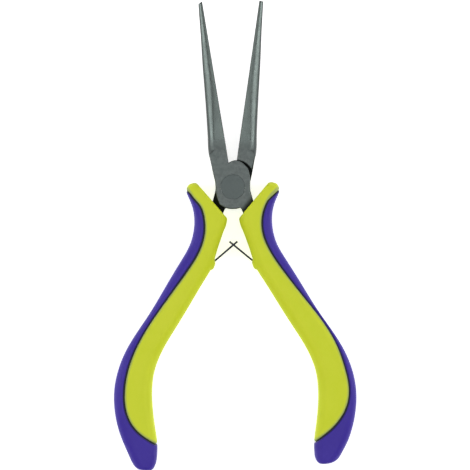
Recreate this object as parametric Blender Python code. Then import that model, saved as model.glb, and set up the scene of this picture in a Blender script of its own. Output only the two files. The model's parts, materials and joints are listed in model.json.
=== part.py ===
"""Long-nose pliers with a lap joint, two-colour sleeved handles and a pair of interlocked leaf springs.

The tool lies on its back: +X across the handles, +Y towards the jaw tips, +Z up. The shapes are worked out in
millimetres about the pivot, for the half that carries the front cheek, with the tool closed: its jaw is on the
left of the closing plane x = 0 and its handle on the right. The other half is the same forging turned over.
"""

import math

import bmesh
import bpy
import numpy as np
from mathutils import Matrix

# ---- driving sizes, in millimetres unless the name says otherwise
OPEN_DEG = 17.4  # between the jaws, with the springs at rest
JAW_LENGTH = 61.5  # pivot to tip
HANDLE_LENGTH = 95.7  # pivot to the butt of the left handle
RIGHT_BUTT_SHORTER = 1.5
JOINT_THICKNESS = 6.8
TIP_THICKNESS = 1.9
GRIP_THICKNESS = 12.5
DISC_RADIUS = 8.05  # top of the cheek
HEEL_RADIUS = 7.25  # bottom of the cheek
SHOULDER_GAP = 0.4
RIVET_HEAD_RADIUS = 4.0
RIVET_SHANK_RADIUS = 2.6
JAW_GAP = 0.1  # left between the closed jaws
CHEEK_GAP = 0.1
RIVET_GAP = 0.06
SHELL_WALL = 1.25
SLEEVE_GAP = 0.2  # tang to core, and core to shell
SEAM_GROOVE = 0.5
SEAT_GAP = 0.3
LEAF_THICKNESS = 0.5
LEAF_WIDTH = 5.0
LEAF_RISE_DEG = 40.0  # of the blades above the line across the handles, with the tool open
LEAF_PAST_CROSSING = 1.7
LEAF_BURIED = 4.0  # straight length inside the handle, before the foot bends down it
LEAF_FOOT = 5.0
WINDOW_LENGTH = 1.5
WINDOW_WIDTH = 2.6

MM = 0.001
HALF_OPEN = math.radians(OPEN_DEG / 2)
HALF_JOINT = JOINT_THICKNESS / 2
HALF_GRIP = GRIP_THICKNESS / 2
SHOULDER_RADIUS = DISC_RADIUS + SHOULDER_GAP
ROOT_Y = 12.3

# The joint's outline, from the jaw's outer side down to the heel.
CHEEK_EDGE = [(-5.95, 12.3), (-5.75, 8.1), (-5.55, 4.0), (-5.45, 1.6), (-5.72, -0.5), (-5.7, -2.6), (-5.3, -4.9)]
# The handle side of the joint, from the tang up to the top of the disc.
FLANK_EDGE = [(6.1, -9.2), (5.85, -5.5), (5.65, -3.7), (5.5, -1.6), (5.9, 0.7), (6.05, 3.0), (5.9, 5.2)]
# Widths of the jaw at heights above the pivot.
JAW_WIDTHS = [(12.3, 5.95), (16.2, 5.6), (24.0, 4.75), (32.0, 4.0), (40.0, 3.33), (48.0, 2.53), (55.0, 1.88), (61.5, 1.35)]
TANG_TOP = [(3.75, -4.6), (3.95, -7.0), (4.25, -10.0), (5.0, -13.5), (5.85, -17.0), (6.8, -21.5)]
# Pairs of points across the handle sleeve, from the flank by the joint down to the butt: inner side, outer side.
SLEEVE = [
    ((0.30, -10.45), (12.0, -0.25)),
    ((0.33, -11.6), (14.3, -1.3)),
    ((0.45, -12.9), (14.85, -3.3)),
    ((0.85, -14.5), (13.55, -5.9)),
    ((1.30, -16.6), (11.9, -9.0)),
    ((1.80, -19.2), (10.85, -13.0)),
    ((2.30, -22.2), (10.7, -17.2)),
    ((3.00, -26.6), (11.5, -21.6)),
    ((4.65, -31.0), (13.5, -26.6)),
    ((8.23, -39.5), (17.2, -35.4)),
    ((11.85, -48.0), (21.2, -44.9)),
    ((15.25, -56.2), (25.7, -54.4)),
    ((16.90, -63.2), (28.3, -62.4)),
    ((16.95, -68.0), (29.05, -68.5)),
    ((16.00, -74.4), (28.45, -75.5)),
    ((14.00, -82.0), (25.9, -83.5)),
    ((12.60, -87.2), (23.2, -88.5)),
    ((12.20, -90.8), (21.2, -91.7)),
    ((12.30, -93.3), (19.4, -94.3)),
    ((13.10, -95.0), (17.9, -95.4)),
    ((14.60, -95.6), (16.3, -95.7)),
]
# The line where the outer back meets the shell, on the front and on the rear face of the sleeve.
SEAM_FRONT = [(18.0, -1.4), (14.9, -2.9), (12.5, -4.5), (9.5, -8.0), (7.9, -11.7), (7.35, -15.6), (8.5, -21.7),
              (12.4, -30.3), (17.3, -39.1), (22.1, -47.9), (25.4, -56.4), (26.8, -64.6), (26.7, -72.5),
              (25.35, -76.3), (22.85, -79.9), (19.0, -83.2), (13.2, -86.2), (7.0, -88.4)]
SEAM_REAR = [(18.0, -1.2), (14.99, -2.7), (12.6, -5.2), (9.65, -7.9), (7.9, -11.6), (7.15, -16.0), (7.8, -21.5),
             (11.3, -29.85), (15.8, -38.4), (20.2, -46.9), (23.65, -55.4), (25.55, -63.6), (25.7, -71.5),
             (25.0, -75.4), (23.5, -79.1), (20.65, -82.7), (13.8, -86.4), (7.0, -88.4)]
STRETCH_FROM = -12.0
DRAWN_BUTT = -95.7


def stretched(point):
    """A point of the handle with the part below the joint stretched to the wanted handle length."""
    x, y = point
    if y < STRETCH_FROM:
        y = STRETCH_FROM + (y - STRETCH_FROM) * (HANDLE_LENGTH + STRETCH_FROM) / (STRETCH_FROM - DRAWN_BUTT)
    return x, y


def curve_through(knots, points):
    """A natural cubic through the points at the knots, as a function that gives points for an array of knots."""
    knots, points = np.asarray(knots, float), np.asarray(points, float)
    step, last = np.diff(knots), len(knots) - 1
    system, right = np.eye(last + 1), np.zeros_like(points)
    for i in range(1, last):
        system[i, i - 1 : i + 2] = step[i - 1], 2 * (step[i - 1] + step[i]), step[i]
        right[i] = 6 * ((points[i + 1] - points[i]) / step[i] - (points[i] - points[i - 1]) / step[i - 1])
    bend = np.linalg.solve(system, right)

    def at(values):
        values = np.atleast_1d(np.asarray(values, float))
        i = np.clip(np.searchsorted(knots, values) - 1, 0, last - 1)
        h = step[i][:, None]
        b = (values - knots[i])[:, None] / h
        a = 1 - b
        curl = ((a**3 - a) * bend[i] + (b**3 - b) * bend[i + 1]) * h**2 / 6
        return a * points[i] + b * points[i + 1] + curl

    return at


def chord_knots(points):
    return np.concatenate([[0], np.cumsum(np.linalg.norm(np.diff(np.asarray(points, float), axis=0), axis=1))])


def smooth_path(points, count):
    knots = chord_knots(points)
    return curve_through(knots, points)(np.linspace(0, knots[-1], count))


def normals_of(path):
    """Unit normals of a plane path, to the left of its direction."""
    along = np.gradient(path, axis=0)
    along /= np.linalg.norm(along, axis=1)[:, None]
    return np.column_stack([-along[:, 1], along[:, 0]])


def arc(radius, start_deg, end_deg, count):
    angle = np.radians(np.linspace(start_deg, end_deg, count))
    return np.column_stack([np.cos(angle), np.sin(angle)]) * radius


def angle_of(point):
    return math.degrees(math.atan2(point[1], point[0]))


def turned(point, angle):
    x, y = point
    return x * math.cos(angle) - y * math.sin(angle), x * math.sin(angle) + y * math.cos(angle)


def lofted(loops):
    """A closed mesh through loops of the same number of points, with flat ends."""
    loops = np.asarray(loops, float)
    stations, around = loops.shape[:2]
    i, j = np.meshgrid(np.arange(stations - 1), np.arange(around), indexing="ij")
    k = (j + 1) % around
    quads = np.stack([i * around + j, i * around + k, (i + 1) * around + k, (i + 1) * around + j], -1)
    faces = quads.reshape(-1, 4).tolist()
    faces.append(list(range(around))[::-1])
    faces.append([(stations - 1) * around + j for j in range(around)])
    mesh = bpy.data.meshes.new("loft")
    mesh.from_pydata(loops.reshape(-1, 3).tolist(), [], faces)
    return outward(mesh)


def outward(mesh):
    work = bmesh.new()
    work.from_mesh(mesh)
    bmesh.ops.remove_doubles(work, verts=work.verts, dist=1e-5)
    bmesh.ops.recalc_face_normals(work, faces=work.faces)
    work.to_mesh(mesh)
    work.free()
    return mesh


def slab(outline, levels, insets):
    """A plane outline carried up through the levels, drawn in by the inset at each."""
    outline = np.asarray(outline, float)
    before, after = np.roll(outline, 1, axis=0), np.roll(outline, -1, axis=0)
    first, second = outline - before, after - outline
    first /= np.linalg.norm(first, axis=1)[:, None]
    second /= np.linalg.norm(second, axis=1)[:, None]
    way = first + second
    way /= np.linalg.norm(way, axis=1)[:, None]
    area = np.sum(outline[:, 0] * after[:, 1] - after[:, 0] * outline[:, 1])
    inner = np.column_stack([-way[:, 1], way[:, 0]]) * math.copysign(1, area)
    inner /= np.clip(np.sum(first * way, axis=1), 0.5, 1)[:, None]
    return lofted([np.column_stack([outline + inner * inset, np.full(len(outline), level)])
                   for level, inset in zip(levels, insets)])


def turned_profile(profile, count):
    """A solid of revolution about z from (radius, z) pairs that start and end on the axis."""
    mesh = bpy.data.meshes.new("turned")
    work = bmesh.new()
    rings = []
    for radius, z in profile:
        if radius == 0:
            rings.append([work.verts.new((0, 0, z))])
            continue
        spots = arc(radius, 0, 360 * (1 - 1 / count), count)
        rings.append([work.verts.new((x, y, z)) for x, y in spots])
    for low, high in zip(rings[:-1], rings[1:]):
        for j in range(count):
            k = (j + 1) % count
            corners = [low[j % len(low)], low[k % len(low)], high[k % len(high)], high[j % len(high)]]
            work.faces.new(list(dict.fromkeys(corners)))
    bmesh.ops.recalc_face_normals(work, faces=work.faces)
    work.to_mesh(mesh)
    work.free()
    return mesh


def combined(first, second, operation):
    """The first mesh with the second joined to it, taken from it or kept in common with it."""
    objects = [bpy.data.objects.new("operand", mesh) for mesh in (first, second)]
    for obj in objects:
        bpy.context.scene.collection.objects.link(obj)
    step = objects[0].modifiers.new("combine", "BOOLEAN")
    step.operation, step.solver, step.object = operation, "EXACT", objects[1]
    bpy.context.view_layer.update()
    graph = bpy.context.evaluated_depsgraph_get()
    result = bpy.data.meshes.new_from_object(objects[0].evaluated_get(graph))
    for obj in objects:
        bpy.data.objects.remove(obj)
    return outward(result)


def all_combined(first, others, operation):
    for other in others:
        first = combined(first, other, operation)
    return first


# ---- the steel halves


def jaw_mesh():
    """The long jaw: a flat gripping side and a rounded back that gets rounder and thinner towards the tip."""
    length = JAW_LENGTH - ROOT_Y
    along = np.concatenate([[-2.6], np.linspace(0, 0.94, 13), [0.965, 0.985, 1.0]])
    share = np.clip(along, 0, 1)
    heights, widths = np.array(JAW_WIDTHS).T
    width = curve_through((heights - heights[0]) / (heights[-1] - heights[0]), widths[:, None])(share)[:, 0]
    depth = HALF_JOINT - 0.02 + (TIP_THICKNESS / 2 - HALF_JOINT) * share**0.9
    ending = np.sqrt(np.clip(1 - np.clip((share - 0.95) / 0.056, 0, 1) ** 2, 0, 1))
    width, depth = width * ending, depth * (0.4 + 0.6 * ending)
    squareness = 2.3 + 6.0 * np.clip(1 - share / 0.3, 0, 1) ** 2
    angle = np.linspace(math.pi / 2, 3 * math.pi / 2, 17)
    loops = []
    for s, w, h, power in zip(along, width, depth, squareness):
        y = ROOT_Y + (s * length if s > 0 else s)
        x = -np.abs(np.cos(angle)) ** (2 / power) * w - JAW_GAP / 2
        z = np.sign(np.sin(angle)) * np.abs(np.sin(angle)) ** (2 / power) * h
        loops.append(np.column_stack([x, np.full_like(x, y), z]))
    return lofted(loops)


def joint_outline():
    left = smooth_path(CHEEK_EDGE, 15)
    heel = arc(HEEL_RADIUS, angle_of(CHEEK_EDGE[-1]), -80.0, 9)
    inner = [(1.6, -7.6), (2.0, -9.2)]
    right = smooth_path(FLANK_EDGE, 13)
    top = arc(DISC_RADIUS, angle_of(FLANK_EDGE[-1]), 89.4, 10)
    face = [(-JAW_GAP / 2 - 0.03, DISC_RADIUS), (-JAW_GAP / 2 - 0.03, ROOT_Y)]
    return np.vstack([left, heel[1:], inner, right, top[1:], face])


def sleeve_rails(butt_lift):
    """The sleeve's inner and outer edges as functions of the mean distance down the handle, and that distance."""
    inner = np.array([stretched(a) for a, _ in SLEEVE])
    outer = np.array([stretched(b) for _, b in SLEEVE])
    for points in (inner, outer):
        points[-4:, 1] += butt_lift * np.array([0.35, 0.75, 1.0, 1.0])
    knots = (chord_knots(inner) + chord_knots(outer)) / 2
    return curve_through(knots, inner), curve_through(knots, outer), knots


RAILS = sleeve_rails(0.0)
INNER_RAIL, OUTER_RAIL, KNOTS = RAILS
LEAF_AT = KNOTS[7] - 1.6  # where the leaf spring leaves the sleeve
BOSS_AT, BOSS_REACH, BOSS_HEIGHT = KNOTS[7] - 0.4, 2.0, 0.7
TANG_TO = KNOTS[14] + 2.0
CORE_FROM, CORE_TO = 1.6, KNOTS[15] + 1.2


def mid_handle(values, share=0.53):
    return INNER_RAIL(values) * (1 - share) + OUTER_RAIL(values) * share


def tang_mesh(spare):
    """The tang inside the sleeve. spare is what a pocket for it is larger by."""
    lead = [stretched(point) for point in TANG_TOP]
    follow = mid_handle(np.concatenate([KNOTS[8:14], [TANG_TO]]))
    path = smooth_path(np.vstack([lead, follow]), 22)
    side, run = normals_of(path), chord_knots(path)
    if spare:
        path[-1] += (path[-1] - path[-2]) / np.linalg.norm(path[-1] - path[-2]) * spare
    half_width = 2.15 - 0.55 * np.clip((run - 22) / 50, 0, 1) + spare
    half_depth = HALF_JOINT - 0.02 - 0.9 * np.clip((run - 8) / 14, 0, 1) + spare
    corner = 0.6
    loops = []
    for centre, way, w, d in zip(path, side, half_width, half_depth):
        across = np.array([-w, -w, -w + corner, w - corner, w, w, w - corner, -w + corner])
        z = np.array([-d + corner, d - corner, d, d, d - corner, -d + corner, -d, -d])
        loops.append(np.column_stack([centre + across[:, None] * way, z]))
    return lofted(loops)


def rivet_profile(spare):
    head, shank, top = RIVET_HEAD_RADIUS + spare, RIVET_SHANK_RADIUS + spare, HALF_JOINT
    neck = top - 0.6 - (RIVET_HEAD_RADIUS - RIVET_SHANK_RADIUS)
    past = 1.0 if spare else 0.0
    upper = [(shank, neck - spare), (head, top - 0.6 - spare), (head, top + past), (0, top + past)]
    return [(r, -z) for r, z in reversed(upper)] + upper


def forged_half():
    outline = joint_outline()
    edge = 0.35
    block = slab(outline, [-HALF_JOINT, -HALF_JOINT + edge, HALF_JOINT - edge, HALF_JOINT], [edge, 0, 0, edge])
    half = all_combined(block, [jaw_mesh(), tang_mesh(0)], "UNION")
    lap = slab(arc(SHOULDER_RADIUS, 0, 354, 60), [-HALF_JOINT - 3, CHEEK_GAP / 2], [0, 0])
    bore = turned_profile(rivet_profile(RIVET_GAP), 48)
    return all_combined(half, [lap, bore], "DIFFERENCE")


# ---- the sleeves


def sleeve_mesh(rails, values, wall, corner, grooves_in):
    """The sleeve's outside, or its outside drawn in by the wall, through the given distances down the handle."""
    inner, outer, knots = rails[0](values), rails[1](values), rails[2]
    boss = np.clip(1 - np.abs(values - BOSS_AT) / BOSS_REACH, 0, 1)
    boss = np.clip(boss * 3, 0, 1) * BOSS_HEIGHT * (wall == 0)
    butt = knots[-1] - values
    roundness = 3.0
    sink = roundness - np.sqrt(np.clip(roundness**2 - np.clip(roundness - butt, 0, None) ** 2, 0, None))
    loops = []
    for a, b, bump, down, ease in zip(inner, outer, boss, sink, grooves_in):
        width = np.linalg.norm(b - a)
        way = (b - a) / width
        low, high = wall + ease - bump, width - wall - ease
        half = HALF_GRIP - wall - ease - (down if wall == 0 else 0)
        r = min(corner, (high - low) * 0.42, half * 0.8)
        quarter = np.radians(np.linspace(0, 90, 5))
        c, s = (1 - np.cos(quarter)) * r, (1 - np.sin(quarter)) * r
        corner_in = np.column_stack([low + c, half - s])
        corner_out = np.column_stack([high - c[::-1], half - s[::-1]])
        middle = np.array([[(low + high) / 2, half]])
        upper = np.vstack([corner_in, middle, corner_out])
        around = np.vstack([upper, upper[::-1] * [1, -1]])
        loops.append(np.column_stack([a + around[:, :1] * way, around[:, 1]]))
    return lofted(loops)


def sleeve_outside(butt_lift):
    rails = sleeve_rails(butt_lift)
    knots = rails[2]
    near_boss = BOSS_AT + BOSS_REACH * np.array([-1.0, -0.66, 0.0, 0.66, 1.0])
    spread = np.concatenate([knots[1:6], (knots[6:7] + knots[5:6]) / 2])
    lower = np.linspace(knots[8], knots[16], 15)
    butt = knots[-1] - np.array([6.0, 4.2, 2.6, 1.4, 0.5, 0.0])
    values = np.concatenate([[0.0, 0.25, 0.7], spread, near_boss, lower, butt])
    values = np.sort(values)
    ease = 0.6 - np.sqrt(np.clip(0.36 - np.clip(0.6 - values, 0, 0.6) ** 2, 0, None))
    return sleeve_mesh(rails, values, 0.0, 3.0, ease)


def sleeve_inside(spare):
    ends = CORE_FROM - (0.0 if spare else -SLEEVE_GAP), CORE_TO + (0.0 if spare else -SLEEVE_GAP)
    values = np.concatenate([np.linspace(ends[0], KNOTS[6], 7)[:-1], np.linspace(KNOTS[6], ends[1], 15)])
    wall = SHELL_WALL + (0.0 if spare else SLEEVE_GAP)
    return sleeve_mesh(RAILS, values, wall, 2.0, np.zeros(len(values)))


def seam_prism(shift):
    """All that lies outside the seam, a surface ruled from its front line to its rear line and moved by shift."""
    lines = []
    for points in (SEAM_FRONT, SEAM_REAR):
        line = smooth_path([stretched(point) for point in points], 44)
        lines.append(line + normals_of(line) * shift)
    front, rear = lines
    past = 0.2
    top, bottom = front + (front - rear) * past, rear + (rear - front) * past
    far = np.array([[7.0, -115.0 * HANDLE_LENGTH / 95.7], [60.0, -115.0 * HANDLE_LENGTH / 95.7], [60.0, -1.0]])
    level = HALF_GRIP * (1 + 2 * past)
    return lofted([np.column_stack([np.vstack([line, far]), np.full(len(line) + 3, z)])
                   for line, z in ((bottom, -level), (top, level))])


# ---- the leaf springs


def leaf_path():
    """Points of the leaf from the end of its foot to its tip, with the distance of the crossing from the start."""
    mouth = INNER_RAIL([LEAF_AT])[0]
    x, _ = turned(mouth, HALF_OPEN)
    rise = math.radians(LEAF_RISE_DEG)
    blade = np.array(turned((-math.cos(rise), math.sin(rise)), -HALF_OPEN))
    to_crossing = x / math.cos(rise)
    bend = mouth - blade * LEAF_BURIED
    down = INNER_RAIL([LEAF_AT + LEAF_BURIED + LEAF_FOOT])[0] - INNER_RAIL([LEAF_AT + LEAF_BURIED])[0]
    end = bend + down / np.linalg.norm(down) * LEAF_FOOT
    tip = mouth + blade * (to_crossing + LEAF_PAST_CROSSING)
    return np.array([end, bend, tip]), LEAF_FOOT + LEAF_BURIED + to_crossing


def leaf_mesh(stations, thickness):
    """A strip along the leaf's path from (distance, half width) pairs, with the bend in it rounded."""
    (end, bend, tip), _ = leaf_path()
    down, up = (bend - end) / np.linalg.norm(bend - end), (tip - bend) / np.linalg.norm(tip - bend)
    loops = []
    for distance, half_width in stations:
        from_bend = distance - LEAF_FOOT
        near = np.clip(1 - abs(from_bend) / 1.2, 0, 1)
        centre = bend + (down if from_bend < 0 else up) * from_bend + (up - down) * 0.3 * near**2
        mix = np.clip((from_bend + 1.2) / 2.4, 0, 1)
        along = down * (1 - mix) + up * mix
        along /= np.linalg.norm(along)
        side = np.array([-along[1], along[0]]) * thickness / 2
        corners = [(*(centre - side), -half_width), (*(centre + side), -half_width),
                   (*(centre + side), half_width), (*(centre - side), half_width)]
        loops.append(corners)
    return lofted(loops)


def leaf_stations(until):
    bends = [LEAF_FOOT + d for d in (-1.2, -0.6, 0.0, 0.6, 1.2)]
    return [(d, LEAF_WIDTH / 2) for d in [0.0, *bends, until]]


def window_leaf():
    (_, bend, tip), crossing = leaf_path()
    stations = leaf_stations(crossing + LEAF_PAST_CROSSING)
    strip = leaf_mesh(stations, LEAF_THICKNESS)
    up = (tip - bend) / np.linalg.norm(tip - bend)
    centre = bend + up * (crossing - LEAF_FOOT)
    side = np.array([-up[1], up[0]])
    half = WINDOW_LENGTH / 2
    corners = [centre + up * a + side * b for a, b in ((-half, -1), (half, -1), (half, 1), (-half, 1))]
    return combined(strip, slab(corners, [-WINDOW_WIDTH / 2, WINDOW_WIDTH / 2], [0, 0]), "DIFFERENCE")


def tongue_leaf():
    _, crossing = leaf_path()
    neck, head = WINDOW_WIDTH / 2 - SEAT_GAP, WINDOW_WIDTH / 2 + 0.9
    narrow, wide = crossing - 0.9, crossing + 0.75
    stations = leaf_stations(narrow - 0.6)
    stations += [(narrow, neck), (wide, neck), (wide + 0.05, head), (crossing + LEAF_PAST_CROSSING, head)]
    return leaf_mesh(stations, LEAF_THICKNESS)


def leaf_pocket():
    """The slot that the leaf's foot sits in, open at the mouth."""
    reach = LEAF_FOOT + LEAF_BURIED + 2.5
    stations = [(-SEAT_GAP, LEAF_WIDTH / 2)] + leaf_stations(reach)[1:]
    return leaf_mesh([(d, w + SEAT_GAP) for d, w in stations], LEAF_THICKNESS + 2 * SEAT_GAP)


# ---- the assembly

STEEL = ((0.118, 0.140, 0.138), 1.0, 0.38)
SPRING_STEEL = ((0.26, 0.28, 0.29), 1.0, 0.32)
CORE_PLASTIC = ((0.022, 0.025, 0.028), 0.0, 0.6)
SHELL_PLASTIC = ((0.56, 0.65, 0.045), 0.0, 0.45)
BACK_PLASTIC = ((0.062, 0.050, 0.290), 0.0, 0.55)


def make(name, mesh, look, parent):
    """A named object of the mesh, with a material of its own, riding on the parent."""
    colour, metallic, roughness = look
    part = mesh.copy()
    part.name = name
    obj = bpy.data.objects.new(name, part)
    bpy.context.scene.collection.objects.link(obj)
    obj.parent = parent
    paint = bpy.data.materials.new(name)
    paint.use_nodes = True
    shader = paint.node_tree.nodes["Principled BSDF"]
    shader.inputs["Base Color"].default_value = (*colour, 1.0)
    shader.inputs["Metallic"].default_value = metallic
    shader.inputs["Roughness"].default_value = roughness
    paint.diffuse_color = (*colour, 1.0)
    part.materials.clear()
    part.materials.append(paint)
    return obj


def finished(mesh):
    """The mesh in metres, smooth except over sharp edges."""
    mesh.transform(Matrix.Scale(MM, 4))
    mesh.polygons.foreach_set("use_smooth", [True] * len(mesh.polygons))
    mesh.set_sharp_from_angle(angle=math.radians(32))
    return mesh


def pivot_empty(name, parent, location, rotation):
    empty = bpy.data.objects.new(name, None)
    empty.empty_display_size = 0.01
    bpy.context.scene.collection.objects.link(empty)
    empty.parent, empty.location, empty.rotation_euler = parent, location, rotation
    return empty


def main():
    for old in list(bpy.data.objects):
        bpy.data.objects.remove(old)

    half = forged_half()
    inside, slot = sleeve_inside(True), leaf_pocket()
    shell = combined(sleeve_outside(0), seam_prism(-SEAM_GROOVE / 2), "DIFFERENCE")
    shell = all_combined(shell, [inside, tang_mesh(SEAT_GAP), slot], "DIFFERENCE")
    backs = []
    for butt_lift in (RIGHT_BUTT_SHORTER, 0):
        back = combined(sleeve_outside(butt_lift), seam_prism(SEAM_GROOVE / 2), "INTERSECT")
        backs.append(combined(back, inside, "DIFFERENCE"))
    core = all_combined(sleeve_inside(False), [tang_mesh(SLEEVE_GAP), slot], "DIFFERENCE")
    rivet = turned_profile(rivet_profile(0), 48)
    leaves = window_leaf(), tongue_leaf()
    for mesh in (half, shell, core, rivet, *backs, *leaves):
        finished(mesh)

    places = np.array([vertex.co[:2] for mesh in (half, backs[1]) for vertex in mesh.vertices])
    reach = places @ np.array([math.sin(HALF_OPEN), math.cos(HALF_OPEN)])
    centre = -(reach.max() + reach.min()) / 2
    pliers = pivot_empty("pliers", None, (0, centre, HALF_GRIP * MM), (0, 0, 0))
    front = pivot_empty("front_pivot", pliers, (0, 0, 0), (0, 0, HALF_OPEN))
    rear = pivot_empty("rear_pivot", pliers, (0, 0, 0), (0, math.pi, -HALF_OPEN))

    make("front_half", half, STEEL, front)
    make("rear_half", half, STEEL, rear)
    make("pivot_rivet", rivet, STEEL, front)
    for side, body, back, leaf in (("right", front, backs[0], leaves[0]), ("left", rear, backs[1], leaves[1])):
        make(f"{side}_core", core, CORE_PLASTIC, body)
        make(f"{side}_shell", shell, SHELL_PLASTIC, body)
        make(f"{side}_back", back, BACK_PLASTIC, body)
        make(f"{side}_leaf_spring", leaf, SPRING_STEEL, body)


main()
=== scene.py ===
"""Spring-return long-nose pliers, lying on their back with the jaws open.

Every shape is worked out in millimetres about the pivot, for the half with the front cheek and with the
tool closed: its jaw is left of the plane x = 0 and its handle is right of it. place() turns the finished
points to where the half lies, and the other half is the same shape turned over.
"""

import json
import math

import bmesh
import bpy
import numpy as np
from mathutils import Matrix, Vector
from mathutils.geometry import tessellate_polygon

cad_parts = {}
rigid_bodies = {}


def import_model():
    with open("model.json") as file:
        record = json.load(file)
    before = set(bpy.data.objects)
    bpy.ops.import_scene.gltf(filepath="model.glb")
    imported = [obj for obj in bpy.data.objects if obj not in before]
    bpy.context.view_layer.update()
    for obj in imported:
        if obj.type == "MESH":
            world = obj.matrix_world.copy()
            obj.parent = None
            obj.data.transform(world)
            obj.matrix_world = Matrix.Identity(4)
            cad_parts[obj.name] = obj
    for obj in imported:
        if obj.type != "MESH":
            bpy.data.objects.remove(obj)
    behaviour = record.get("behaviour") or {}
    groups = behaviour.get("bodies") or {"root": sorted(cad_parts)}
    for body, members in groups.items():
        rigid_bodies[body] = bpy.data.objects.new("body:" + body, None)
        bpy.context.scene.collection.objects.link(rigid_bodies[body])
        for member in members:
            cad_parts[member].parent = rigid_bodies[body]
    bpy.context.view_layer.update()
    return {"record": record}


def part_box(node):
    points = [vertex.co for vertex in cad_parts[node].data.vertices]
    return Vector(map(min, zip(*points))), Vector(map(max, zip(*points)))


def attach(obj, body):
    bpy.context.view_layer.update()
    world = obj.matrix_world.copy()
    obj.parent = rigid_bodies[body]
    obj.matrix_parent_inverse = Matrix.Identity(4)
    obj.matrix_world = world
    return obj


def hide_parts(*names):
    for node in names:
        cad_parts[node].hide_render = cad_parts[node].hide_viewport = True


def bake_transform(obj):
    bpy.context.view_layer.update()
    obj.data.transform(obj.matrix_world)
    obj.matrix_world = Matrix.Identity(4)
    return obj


for leftover in list(bpy.data.objects):
    bpy.data.objects.remove(leftover)
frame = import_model()

rivet_low, rivet_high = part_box("pivot_rivet")
PIVOT = np.array([(a + b) / 2 for a, b in zip(rivet_low, rivet_high)]) * 1000
HALF_OPEN = math.radians(frame["record"]["behaviour"]["joints"][0]["range_deg"][1] / 2)

# ---- sizes in millimetres
HALF_JOINT = (rivet_high[2] - rivet_low[2]) * 500
HALF_GRIP = PIVOT[2]
JAW_LENGTH = 61.5
TIP_HALF_DEPTH = 0.95
TIP_ROUND = 0.22
DISC_RADIUS, HEEL_RADIUS, SHOULDER_RADIUS, JAW_SHOULDER = 8.05, 7.25, 8.45, 8.82
RIVET_HEAD_RADIUS, BORE_RADIUS, ROUND_COUNT = 4.0, 4.02, 120
JAW_FACE = 0.05
CHEEK_END, JAW_START = 11.6, 10.6
JAW_BACK_REACH, JAW_BACK_SHARE, JAW_CROWN = 2.35, 0.62, 0.17
FRONT_TIP_SLANT, REAR_TIP_SLANT = 0.6, 0.05
CHEEK_FACE, CHEEK_ROUND = 0.05, 0.3
WALL = 1.25
GROOVE, GROOVE_DEPTH = 0.6, 0.5
RIGHT_BUTT_SHORTER = 1.5
LEAF_THICKNESS, LEAF_WIDTH = 0.62, 5.0
LEAF_RISE_DEG, LEAF_PAST_CROSSING, LEAF_BURIED, LEAF_FOOT, LEAF_BEND = 40.0, 1.7, 4.0, 5.0, 1.2
WINDOW_LENGTH, WINDOW_WIDTH = 1.5, 2.6

CHEEK_EDGE = [(-5.92, CHEEK_END), (-5.75, 8.1), (-5.55, 4.0), (-5.45, 1.6), (-5.72, -0.5), (-5.7, -2.6),
              (-5.3, -4.9)]
FLANK_EDGE = [(6.1, -9.2), (5.85, -5.5), (5.65, -3.7), (5.5, -1.6), (5.9, 0.7), (6.05, 3.0), (5.9, 5.2)]
CREST = [(5.9, 5.2), (4.43, 7.31), (2.13, 8.48), (1.1, 8.38), (-0.07, 8.05)]
JAW_WIDTHS = [(12.3, 5.95), (16.2, 5.6), (24.0, 4.75), (32.0, 4.0), (40.0, 3.33), (48.0, 2.53),
              (55.0, 1.88), (61.5, 1.35)]
TANG_TOP = [(3.75, -4.6), (3.95, -7.0), (4.25, -10.0), (5.0, -13.5), (5.85, -17.0), (6.8, -21.5)]
SLEEVE = [
    ((0.30, -10.45), (12.0, -0.25)), ((0.33, -11.6), (14.3, -1.3)), ((0.45, -12.9), (14.85, -3.3)),
    ((0.85, -14.5), (13.55, -5.9)), ((1.30, -16.6), (11.9, -9.0)), ((1.80, -19.2), (10.85, -13.0)),
    ((2.30, -22.2), (10.7, -17.2)), ((3.00, -26.6), (11.5, -21.6)), ((4.65, -31.0), (13.5, -26.6)),
    ((8.23, -39.5), (17.2, -35.4)), ((11.85, -48.0), (21.2, -44.9)), ((15.25, -56.2), (25.7, -54.4)),
    ((16.90, -63.2), (28.3, -62.4)), ((16.95, -68.0), (29.05, -68.5)), ((16.00, -74.4), (28.45, -75.5)),
    ((14.00, -82.0), (25.9, -83.5)), ((12.60, -87.2), (23.2, -88.5)), ((12.20, -90.8), (21.2, -91.7)),
    ((12.30, -93.3), (19.4, -94.3)), ((13.10, -95.0), (17.9, -95.4)), ((14.60, -95.6), (16.3, -95.7)),
]
SEAM_FRONT = [
    (18.0, -1.4), (14.9, -2.9), (12.5, -4.5), (9.5, -8.0), (7.9, -11.7), (7.35, -15.6), (8.5, -21.7),
    (12.4, -30.3), (17.3, -39.1), (22.1, -47.9), (25.4, -56.4), (26.8, -64.6), (26.7, -72.5),
    (25.35, -76.3), (22.85, -79.9), (19.0, -83.2), (13.2, -86.2), (7.0, -88.4),
]
SEAM_REAR = [
    (18.0, -1.2), (14.99, -2.7), (12.6, -5.2), (9.65, -7.9), (7.9, -11.6), (7.15, -16.0), (7.8, -21.5),
    (11.3, -29.85), (15.8, -38.4), (20.2, -46.9), (23.65, -55.4), (25.55, -63.6), (25.7, -71.5),
    (25.0, -75.4), (23.5, -79.1), (20.65, -82.7), (13.8, -86.4), (7.0, -88.4),
]


# ---- curves


def smoothstep(x):
    """3x^2 - 2x^3 from 0 to 1, held at the ends."""
    x = np.clip(x, 0, 1)
    return x * x * (3 - 2 * x)


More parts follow.
